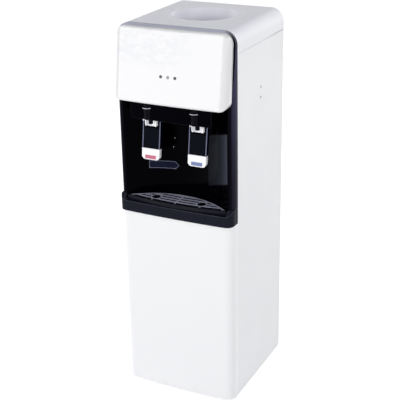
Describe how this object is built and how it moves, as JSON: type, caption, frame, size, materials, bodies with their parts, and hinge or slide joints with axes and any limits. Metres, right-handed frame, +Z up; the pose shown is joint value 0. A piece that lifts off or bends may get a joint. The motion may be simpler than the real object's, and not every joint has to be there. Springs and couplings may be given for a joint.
{
  "type": "water cooler",
  "caption": "Free-standing top-loading water dispenser: bottle well, glossy fascia, concave tap niche, two push levers, drip tray, rear wire condenser.",
  "frame": {"origin": "on the floor under the middle of the machine's bounding box", "axes": "+X to the right of a person facing the taps, +Y to the rear, +Z up"},
  "size_m": [0.31, 0.3592, 0.97],
  "materials": {
    "cover_white": "satin white ABS, faintly cool",
    "well_white": "satin white ABS",
    "white_steel": "smooth white powder coat",
    "front_white": "semi-gloss white ABS",
    "fascia_white": "high-gloss white ABS",
    "frame_grey": "dark violet-grey satin ABS",
    "niche_black": "piano black",
    "hood_black": "piano black",
    "tray_grey": "dark grey satin ABS",
    "grille_grey": "dark grey satin ABS",
    "tap_black": "black nylon",
    "collar_chrome": "bright plated ring",
    "spout_white": "white ABS",
    "paddle_black": "gloss black ABS",
    "tip_white": "gloss white ABS",
    "mark_red": "printed red bar",
    "mark_blue": "printed blue bar",
    "pin_steel": "ground stainless",
    "stem_white": "acetal",
    "lens_grey": "smoked lens",
    "board_green": "circuit board",
    "arrow_grey": "thin printed plate, bare",
    "screw_steel": "zinc-plated",
    "stainless": "drawn stainless",
    "copper": "bare copper tube",
    "foam": "closed-cell foam",
    "zinc_sheet": "galvanised sheet",
    "back_white": "white coated sheet",
    "rubber_black": "black rubber",
    "silicone": "milky silicone",
    "black_enamel": "black enamel",
    "black_plastic": "black moulding",
    "rocker_red": "red rocker",
    "rocker_green": "green rocker",
    "cap_white": "white cap",
    "lid_white": "white polypropylene"
  },
  "bodies": {
    "cabinet": {"top_cover": "cover_white", "bottle_well": "well_white", "water_guard_probe": "well_white", "well_gasket": "silicone", "right_side_panel": "white_steel", "left_side_panel": "white_steel", "back_panel": "back_white", "base_plate": "zinc_sheet", "rubber_feet": "rubber_black", "lower_front_panel": "front_white", "front_frame": "frame_grey", "niche_liner": "niche_black", "fascia": "fascia_white", "indicator_lenses": "lens_grey", "indicator_board": "board_green", "tap_hood": "hood_black", "tap_bodies": "tap_black", "tap_collars": "collar_chrome", "spout_guards": "spout_white", "paddle_pins": "pin_steel", "arrow_plate": "arrow_grey", "panel_screws": "screw_steel", "cold_tank": "stainless", "cold_tank_lid": "lid_white", "cold_tank_baffle": "lid_white", "evaporator_coil": "copper", "cold_insulation": "foam", "tank_shelf": "zinc_sheet", "hot_tank": "stainless", "hot_tank_heater": "stainless", "hot_insulation": "foam", "hot_tank_bracket": "zinc_sheet", "cold_water_hose": "silicone", "hot_water_hose": "silicone", "hot_fill_hose": "silicone", "drain_hose": "silicone", "drain_outlet": "black_plastic", "compressor": "black_enamel", "compressor_grommets": "rubber_black", "start_relay": "black_plastic", "condenser_coil": "black_enamel", "condenser_wires": "black_enamel", "condenser_brackets": "black_plastic", "filter_drier": "copper", "refrigerant_pipes": "copper", "switch_housing": "black_plastic", "power_inlet": "black_plastic"},
    "hot_lever": {"hot_paddle": "paddle_black", "hot_paddle_tip": "tip_white", "hot_mark": "mark_red"},
    "cold_lever": {"cold_paddle": "paddle_black", "cold_paddle_tip": "tip_white", "cold_mark": "mark_blue"},
    "hot_valve": {"hot_valve_stem": "stem_white"},
    "cold_valve": {"cold_valve_stem": "stem_white"},
    "tray": {"drip_tray": "tray_grey"},
    "grille": {"drip_grille": "grille_grey"},
    "hot_rocker": {"hot_switch_rocker": "rocker_red"},
    "cold_rocker": {"cold_switch_rocker": "rocker_green"},
    "cap": {"drain_cap": "cap_white"}
  },
  "joints": [
    {"name": "hot_lever_pivot", "type": "hinge", "parent": "cabinet", "child": "hot_lever", "pos_m": [-0.0625, -0.128, 0.754], "axis": [1, 0, 0], "range_deg": [0, 12], "stiffness_Nm_per_rad": 1, "springref_deg": -8.59},
    {"name": "hot_valve_press", "type": "slide", "parent": "cabinet", "child": "hot_valve", "axis": [0, -1, 0], "range_m": [0, 0.0032]},
    {"name": "cold_lever_pivot", "type": "hinge", "parent": "cabinet", "child": "cold_lever", "pos_m": [0.0625, -0.128, 0.754], "axis": [1, 0, 0], "range_deg": [0, 12], "stiffness_Nm_per_rad": 1, "springref_deg": -8.59},
    {"name": "cold_valve_press", "type": "slide", "parent": "cabinet", "child": "cold_valve", "axis": [0, -1, 0], "range_m": [0, 0.0032]},
    {"name": "tray_slide", "type": "slide", "parent": "cabinet", "child": "tray", "axis": [0, -1, 0], "range_m": [0, 0.075]},
    {"name": "grille_lift", "type": "slide", "parent": "tray", "child": "grille", "axis": [0, 0, 1], "range_m": [0, 0.05]},
    {"name": "hot_switch_tip", "type": "hinge", "parent": "cabinet", "child": "hot_rocker", "pos_m": [-0.103, 0.1553, 0.897], "axis": [-1, 0, 0], "range_deg": [0, 16]},
    {"name": "cold_switch_tip", "type": "hinge", "parent": "cabinet", "child": "cold_rocker", "pos_m": [-0.081, 0.1553, 0.897], "axis": [-1, 0, 0], "range_deg": [0, 16]},
    {"name": "drain_cap_pull", "type": "slide", "parent": "cabinet", "child": "cap", "axis": [0, 1, 0], "range_m": [0, 0.014]}
  ],
  "couplings": [
    {"joint": "hot_valve_press", "follows": "hot_lever_pivot", "m_per_rad": 0.0148},
    {"joint": "cold_valve_press", "follows": "cold_lever_pivot", "m_per_rad": 0.0148}
  ]
}
